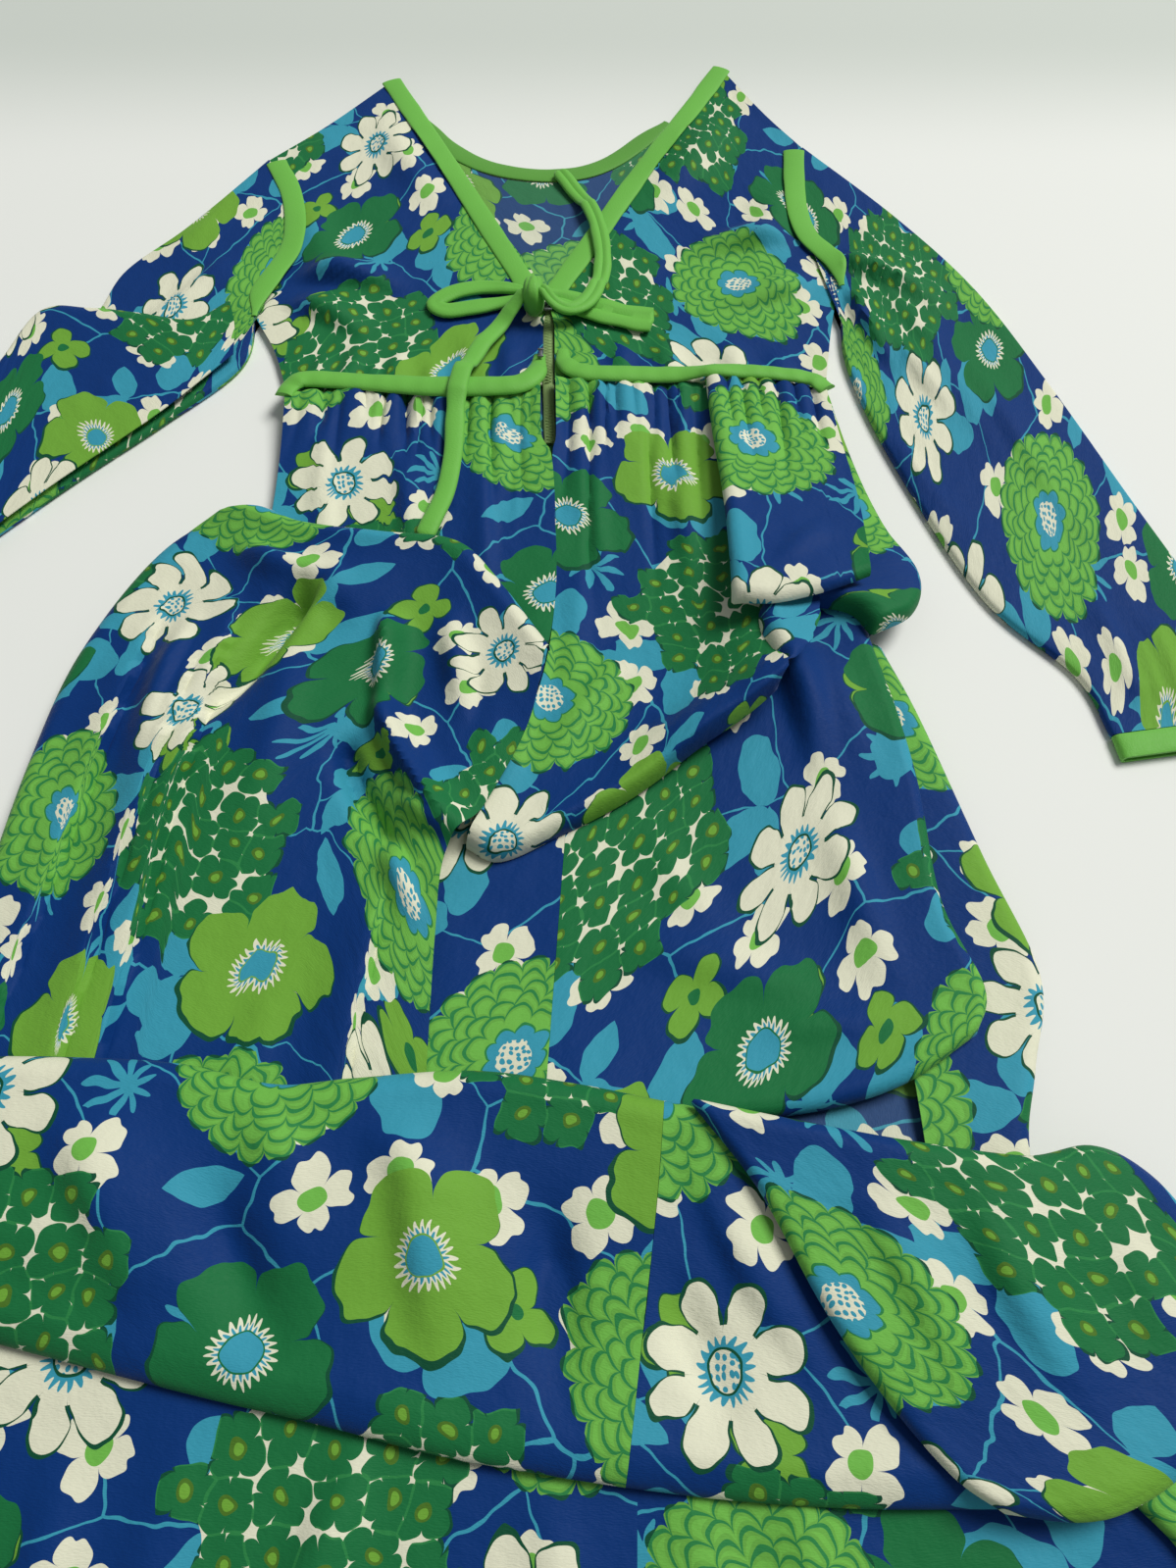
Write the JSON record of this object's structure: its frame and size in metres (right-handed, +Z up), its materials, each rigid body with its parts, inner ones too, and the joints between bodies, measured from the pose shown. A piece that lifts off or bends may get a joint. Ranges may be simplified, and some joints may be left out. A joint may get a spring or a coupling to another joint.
{
  "type": "floral maxi dress",
  "caption": "Long-sleeved high-waisted floral maxi dress with lime bindings and a front tie, laid flat with its skirt folded in a heap.",
  "frame": {"origin": "centre front on the waist seam, on the surface that the dress lies on", "axes": "+X to the picture's right, +Y towards the neck, +Z up"},
  "size_m": [1.0609, 1.1995, 0.0446],
  "materials": {
    "floral_cloth": "printed crepe, royal blue ground with lime, green, turquoise and cream flowers, soft sheen",
    "lime_binding": "plain lime crepe, fine twill",
    "zip_coil": "olive nylon coil and tape",
    "zip_metal": "dull nickel"
  },
  "bodies": {
    "root": {"bodice_back": "floral_cloth", "bodice_front_left": "floral_cloth", "bodice_front_right": "floral_cloth", "sleeve_left": "floral_cloth", "sleeve_left_fold": "floral_cloth", "sleeve_right": "floral_cloth", "cuff_binding_left": "lime_binding", "cuff_binding_right": "lime_binding", "neck_binding_left": "lime_binding", "neck_binding_right": "lime_binding", "neck_binding_back": "lime_binding", "armhole_binding_left": "lime_binding", "armhole_binding_right": "lime_binding", "waist_band_left": "lime_binding", "waist_band_right": "lime_binding", "zip_tape": "zip_coil", "zip_slider": "zip_metal", "waist_hook": "zip_metal", "bow_knot": "lime_binding", "bow_loop_left": "lime_binding", "bow_loop_right": "lime_binding", "tie_tail_down": "lime_binding", "tie_tail_up": "lime_binding", "skirt_under": "floral_cloth", "skirt_front_left": "floral_cloth", "skirt_front_right": "floral_cloth", "skirt_fold_left": "floral_cloth", "skirt_middle_left": "floral_cloth", "skirt_middle_right": "floral_cloth", "skirt_pleat_right": "floral_cloth", "skirt_edge_right": "floral_cloth", "skirt_band_left": "floral_cloth", "skirt_band_middle": "floral_cloth", "skirt_band_right": "floral_cloth", "skirt_hem_left": "floral_cloth", "skirt_hem_right": "floral_cloth", "skirt_corner_right": "floral_cloth"}
  },
  "joints": []
}
